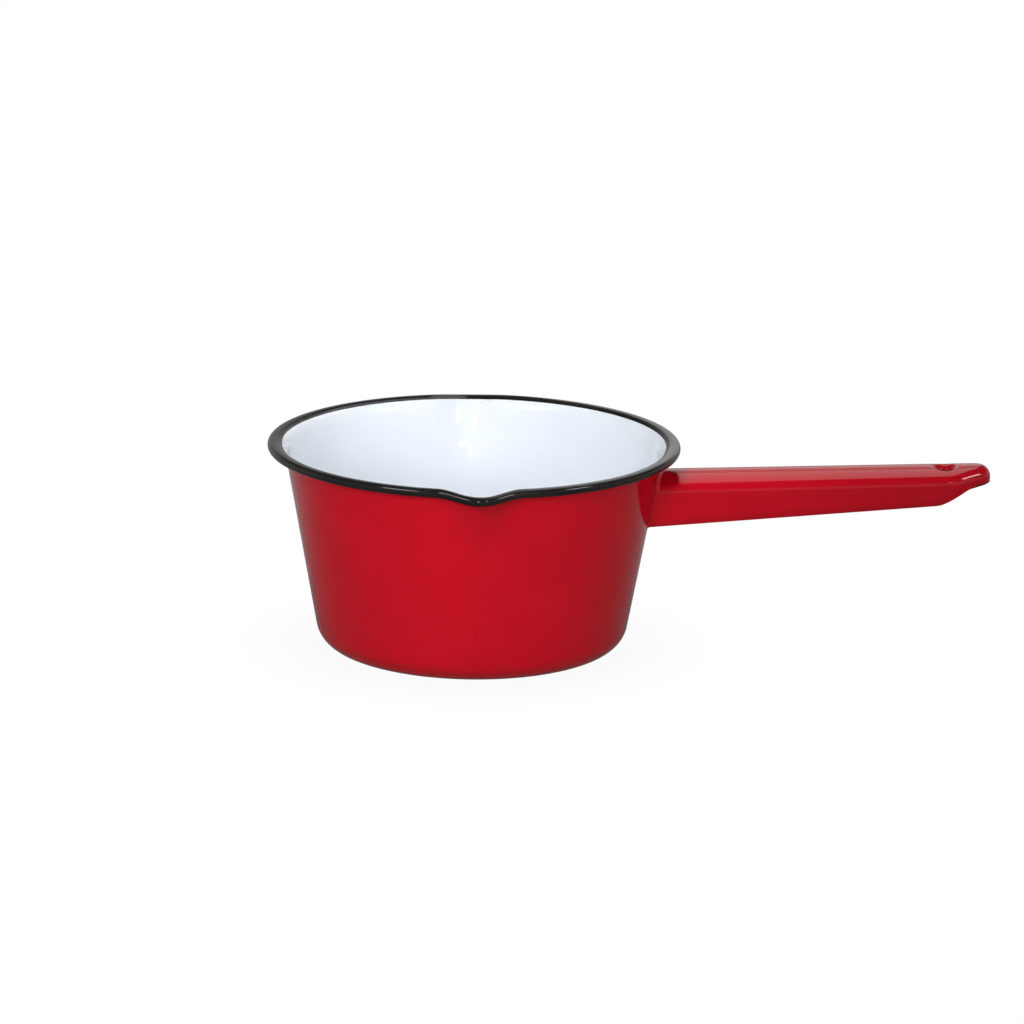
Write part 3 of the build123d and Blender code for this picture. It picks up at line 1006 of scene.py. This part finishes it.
# The flecks lie in patches, both in cells a metre. A fleck's size is a share of its cell, and an edge
# is how sharply a fleck or a patch ends
FLECK_SCALE = 900.0
PATCH_SCALE = 300.0
FLECK_SIZE = 0.22
FLECK_EDGE = 12
PATCH_EDGE = 8

# The steel's grain in cells a metre, its darker shade, and its roughness
STEEL_SCALE = 600.0
STEEL_SHADE = 0.7
STEEL_ROUGHNESS = 0.3
STEEL_ROUGHNESS_GAIN = 0.15


def nose_edge(bench, place):
    """How far the dark ground coat shows through the red: a line along the nose's lower edge"""
    scene = bpy.context.scene
    rules = HandleRules(scene.handle_sizes, BowlRules(scene.bowl_sizes))
    x, z = bench.axis(place, "X"), bench.axis(place, "Z")
    start = rules.tip_x - rules.sizes.skirt_setback
    low = rules.lower_z(start)
    slope = (rules.lower_z(rules.tip_x) - low) / rules.sizes.skirt_setback
    depth = (x - start) * slope + (low + NOSE_EDGE_HEIGHT) - z
    return bench.clamp(depth / NOSE_EDGE_BLUR) * bench.clamp((x - start) / NOSE_EDGE_FADE)


def flecks(bench, place):
    """Where the pale flecks of a ground coat lie"""
    cells = bench.node("ShaderNodeTexVoronoi", None, {"Vector": place, "Scale": FLECK_SCALE})
    patches = bench.noise(place, PATCH_SCALE, 2.0)
    return bench.clamp((FLECK_SIZE - cells) * FLECK_EDGE) * bench.clamp((patches - 0.5) * PATCH_EDGE)


def enamel(name, main, second, roughness, wave, mask=None, shown=None):
    """Fired glass over steel: slow drifts of colour and a faint ripple, and what a mask shows in it"""
    bench = cleared_bench(bpy.data.materials.new(DRESSED + name))
    place = bench.node("ShaderNodeTexCoord", output="Object")
    drift = bench.noise(place, DRIFT_SCALE, 3.0)
    grain = bench.noise(place, GRAIN_SCALE, 2.0)
    ripple = bench.noise(place, RIPPLE_SCALE, 1.5)
    amount = bench.clamp((drift - DRIFT_START) * DRIFT_GAIN + (grain - 0.5) * GRAIN_GAIN)
    paint = bench.mix_colours(amount, main, second)
    if mask:
        paint = bench.mix_colours(mask(bench, place), paint, shown)
    gloss = roughness + (grain - 0.5) * GLOSS_GAIN + (drift - 0.5) * GLOSS_GAIN
    height = ripple * RIPPLE_SHARE + grain * (1 - RIPPLE_SHARE)
    relief = bench.node("ShaderNodeBump", None, {"Strength": wave, "Distance": RELIEF, "Height": height})
    shader = bench.node(
        "ShaderNodeBsdfPrincipled",
        None,
        {"Base Color": paint, "Roughness": gloss, "IOR": 1.5, "Normal": relief},
    )
    bench.node("ShaderNodeOutputMaterial", None, {"Surface": shader})


def bare_steel(name, base):
    """Drawn sheet, as it lies under the coats"""
    bench = cleared_bench(bpy.data.materials.new(DRESSED + name))
    place = bench.node("ShaderNodeTexCoord", output="Object")
    grain = bench.noise(place, STEEL_SCALE, 4.0)
    paint = bench.mix_colours(grain, base, [value * STEEL_SHADE for value in base])
    shader = bench.node(
        "ShaderNodeBsdfPrincipled",
        None,
        {"Base Color": paint, "Metallic": 1.0, "Roughness": STEEL_ROUGHNESS + grain * STEEL_ROUGHNESS_GAIN},
    )
    bench.node("ShaderNodeOutputMaterial", None, {"Surface": shader})


def finishes():
    """Every finish by its slot, made once"""
    colours = bpy.context.scene.pan_colours

    # Main and second colour, roughness, how strong the ripple is, and a mask with the colour it shows
    coats = {
        "red_enamel": (colours.red, colours.deep_red, 0.08, 0.10, nose_edge, colours.ground),
        "white_enamel": (colours.white, colours.cool_white, 0.09, 0.05),
        "black_enamel": (colours.black, colours.brown_black, 0.09, 0.06),
        "ground_enamel": (colours.ground, colours.pale_ground, 0.22, 0.20, flecks, colours.fleck),
    }
    for slot, recipe in coats.items():
        if DRESSED + slot not in bpy.data.materials:
            enamel(slot, *recipe)
    if DRESSED + "steel" not in bpy.data.materials:
        bare_steel("steel", colours.steel)
    return {slot: bpy.data.materials[DRESSED + slot] for slot in (*coats, "steel")}


# Operators


class PAN_OT_bowl(bpy.types.Operator):
    """Grow the bowl's steel, white lining, black rim and red jacket"""

    bl_idname = "pan.bowl"
    bl_label = "Grow the Bowl"

    def execute(self, context):
        sizes = context.scene.bowl_sizes
        rules = BowlRules(sizes)
        paints = finishes()
        tree = layer_tree()
        for name, node, section, slot in (
            ("drawn_bowl", "bowl_pressing", steel_section, "steel"),
            ("white_inside", "white_lining", white_section, "white_enamel"),
            ("black_bead", "black_rim", black_section, "black_enamel"),
            ("red_outside", "red_jacket", red_section, "red_enamel"),
        ):
            piece = grow_layer(name, section(rules), tree, sizes, rules, paints[slot])
            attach(piece, BODY)
            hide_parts(node)
        return {"FINISHED"}


class PAN_OT_handle(bpy.types.Operator):
    """Lay the handle's red coat, its steel and its ground coat, and finish its weld"""

    bl_idname = "pan.handle"
    bl_label = "Lay the Handle"

    def execute(self, context):
        bowl = BowlRules(context.scene.bowl_sizes)
        rules = HandleRules(context.scene.handle_sizes, bowl)
        paints = finishes()
        coat, steel_side, milk_side, sheet = bowl.sizes.coat, bowl.steel_side, bowl.milk_side, bowl.sheet
        weld = rules.sizes.weld_radius
        red = [rules.grids(0.0, hollow=weld), rules.grids(coat, hollow=weld + coat, wall_depth=coat)]
        pressing = [rules.grids(depth, lift=coat, wall_depth=coat) for depth in (steel_side, milk_side)]
        ground_path = ((milk_side, coat), (steel_side, coat), (steel_side, 0.0), (sheet, 0.0))
        ground = [rules.grids(inset, lift) for inset, lift in ground_path]
        for name, node, slot, grids in (
            ("red_handle", "handle_red_coat", "red_enamel", red),
            ("pressed_handle", "handle_pressing", "steel", pressing),
            ("dark_inside", "handle_ground_coat", "ground_enamel", ground),
        ):
            piece = skin_piece(name, grids, paints[slot])
            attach(piece, BODY)
            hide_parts(node)
        weld_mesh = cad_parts["root_weld"].data
        weld_mesh.materials.clear()
        weld_mesh.materials.append(paints["steel"])
        return {"FINISHED"}


def towards(azimuth, climb):
    """The direction from the pan at an azimuth round it, counted from the front, and at a climb"""
    level = math.cos(climb)
    return Vector((math.sin(azimuth) * level, -math.cos(azimuth) * level, math.sin(climb)))


def area_lamp(name, azimuth, climb, away, aim, width, height, watts, spread=180):
    """An area lamp at an azimuth and a climb in degrees, and a distance away from what it is aimed at"""
    back = towards(math.radians(azimuth), math.radians(climb))
    lamp = bpy.data.lights.new(name, "AREA")
    lamp.shape = "RECTANGLE"
    lamp.size, lamp.size_y = width, height
    lamp.spread = math.radians(spread)
    lamp.energy = watts
    holder = link(name, lamp)
    holder.location = Vector(aim) + back * away
    holder.rotation_euler = back.to_track_quat("Z", "Y").to_euler()
    return holder


class PAN_OT_stage(bpy.types.Operator):
    """Set out the floor, the lamps, the world and the camera"""

    bl_idname = "pan.stage"
    bl_label = "Set the Stage"

    def execute(self, context):
        settings = context.scene.pan_stage
        self.lay_floor(settings)
        self.light_world(context.scene, settings)
        self.hang_lamps(settings)
        self.place_camera(context.scene, settings)
        context.scene.view_settings.view_transform = "Standard"
        return {"FINISHED"}

    @staticmethod
    def lay_floor(settings):
        half = settings.floor_size / 2
        mesh = bpy.data.meshes.new("floor")
        corners = [(x * half, y * half, -FLOOR_GAP) for x, y in ((-1, -1), (1, -1), (1, 1), (-1, 1))]
        mesh.from_pydata(corners, [], [(0, 1, 2, 3)])
        material = bpy.data.materials.new("floor_white")
        bench = cleared_bench(material)
        place = bench.node("ShaderNodeTexCoord", output="Object")
        matt = bench.node("ShaderNodeBsdfDiffuse", None, {"Color": (*settings.floor_white, 1)})
        back = bench.smooth_step(bench.axis(place, "Y"), *FLOOR_TURN)
        mirrored = bench.mix_shaders(back, bench.glow(settings.near_mirror), bench.glow(settings.far_mirror))
        glossy = bench.node("ShaderNodeLightPath", output="Is Glossy Ray")
        lit = bench.mix_shaders(glossy, matt, mirrored)
        radius = bench.node("ShaderNodeVectorMath", {"operation": "LENGTH"}, {0: place}, output="Value")
        away = bench.smooth_step(radius, *SHADOW_FADE)
        plain = settings.floor_glow + away * (1 - settings.floor_glow)
        seen = bench.node("ShaderNodeLightPath", output="Is Camera Ray") * plain
        surface = bench.mix_shaders(seen, lit, bench.glow(1.0))
        bench.node("ShaderNodeOutputMaterial", None, {"Surface": surface})
        mesh.materials.append(material)
        link("floor", mesh)

    @staticmethod
    def light_world(scene, settings):
        world = bpy.data.worlds.new("studio")
        bench = cleared_bench(world)
        camera, glossy, through = [
            bench.node("ShaderNodeLightPath", output=ray)
            for ray in ("Is Camera Ray", "Is Glossy Ray", "Is Transmission Ray")
        ]
        strengths = (settings.soft_light, 1.0, settings.sky_mirror, settings.overhead_mirror)
        soft, white, low, high = [
            bench.node("ShaderNodeBackground", None, {"Color": (1, 1, 1, 1), "Strength": strength})
            for strength in strengths
        ]
        direction = bench.node("ShaderNodeTexCoord", output="Generated")
        climb = bench.smooth_step(bench.axis(direction, "Z"), *SKY_TURN)
        lit = bench.mix_shaders(glossy, soft, bench.mix_shaders(climb, low, high))
        surface = bench.mix_shaders(bench.clamp(camera + through), lit, white)
        bench.node("ShaderNodeOutputWorld", None, {"Surface": surface})
        scene.world = world

    @staticmethod
    def hang_lamps(settings):
        """The panels light the paint alone, and the glints and cards are seen in the glaze alone

        Lamps aim at a place and measure in metres. A glint or card is given by the white that it shows,
        which is its watts over pi and its area.
        """
        for name, azimuth, climb, away, aim, width, height, spread, watts in (
            ("key_panel", -16, 19, 0.70, (-0.035, 0, 0.05), 0.30, 0.30, 42, settings.key_power),
            ("fill_panel", 42, 12, 0.75, (0.06, -0.03, 0.045), 0.20, 0.30, 40, settings.fill_power),
            ("top_panel", 0, 90, 0.95, (0.05, 0, 0.05), 0.30, 0.30, 180, settings.top_power),
            ("bowl_panel", 0, 90, 0.50, (-0.02, 0, 0.05), 0.20, 0.20, 35, settings.bowl_power),
        ):
            lamp = area_lamp(name, azimuth, climb, away, aim, width, height, watts, spread)
            lamp.visible_glossy = False
        for name, azimuth, climb, away, aim, width, height, white in (
            ("front_glint", 24, 28, 1.50, (0, 0, 0.06), 0.10, 0.10, 24.0),
            ("lining_glint", -5, 28, 1.50, (0, 0, 0.06), 0.15, 0.15, 30.0),
            ("left_glint", -48, 42, 1.00, (0, 0, 0.08), 0.30, 0.16, 10.0),
            ("right_glint", 62, 34, 1.00, (0, 0, 0.08), 0.20, 0.16, 10.0),
            ("low_card", 174, 23, 0.45, (0.13, 0, 0.074), 0.26, 0.24, settings.low_card),
            ("high_card", 174, 58, 0.45, (0.13, 0, 0.074), 0.26, 0.33, settings.high_card),
        ):
            watts = white * math.pi * width * height
            lamp = area_lamp(name, azimuth, climb, away, aim, width, height, watts)
            lamp.visible_diffuse = False

    @staticmethod
    def place_camera(scene, settings):
        turn, roll = settings.azimuth, settings.roll
        back = towards(turn, settings.elevation)
        right = Vector((math.cos(turn), math.sin(turn), 0))
        up = back.cross(right)
        tilted_right = right * math.cos(roll) + up * math.sin(roll)
        tilted_up = up * math.cos(roll) - right * math.sin(roll)
        camera = bpy.data.cameras.new("camera")
        camera.lens = settings.focal_length
        camera.sensor_width = 36.0
        camera.clip_start, camera.clip_end = 0.1, 50.0
        holder = link("camera", camera)
        place = Vector(settings.target) + back * settings.distance
        holder.matrix_world = Matrix.Translation(place) @ Matrix(
            (tilted_right, tilted_up, back)
        ).transposed().to_4x4()
        scene.camera = holder


class PAN_PT_panel(bpy.types.Panel):
    """Puts the pan's operators in the sidebar"""

    bl_idname = "PAN_PT_panel"
    bl_label = "Milk Pan"
    bl_space_type = "VIEW_3D"
    bl_region_type = "UI"
    bl_category = "Milk Pan"

    def draw(self, context):
        for operator in OPERATORS:
            self.layout.operator(operator.bl_idname)


OPERATORS = (PAN_OT_bowl, PAN_OT_handle, PAN_OT_stage)
SETTINGS = {
    "bowl_sizes": BowlSizes,
    "handle_sizes": HandleSizes,
    "pan_colours": EnamelColours,
    "pan_stage": StageSettings,
}


def register():
    for kind in (*SETTINGS.values(), *OPERATORS, PAN_PT_panel):
        bpy.utils.register_class(kind)
    for name, kind in SETTINGS.items():
        setattr(bpy.types.Scene, name, PointerProperty(type=kind))


def unregister():
    for name in SETTINGS:
        delattr(bpy.types.Scene, name)
    for kind in reversed((*SETTINGS.values(), *OPERATORS, PAN_PT_panel)):
        bpy.utils.unregister_class(kind)


def main():
    register()
    bpy.ops.pan.bowl()
    bpy.ops.pan.handle()
    bpy.ops.pan.stage()
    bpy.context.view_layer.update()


if __name__ == "__main__":
    main()
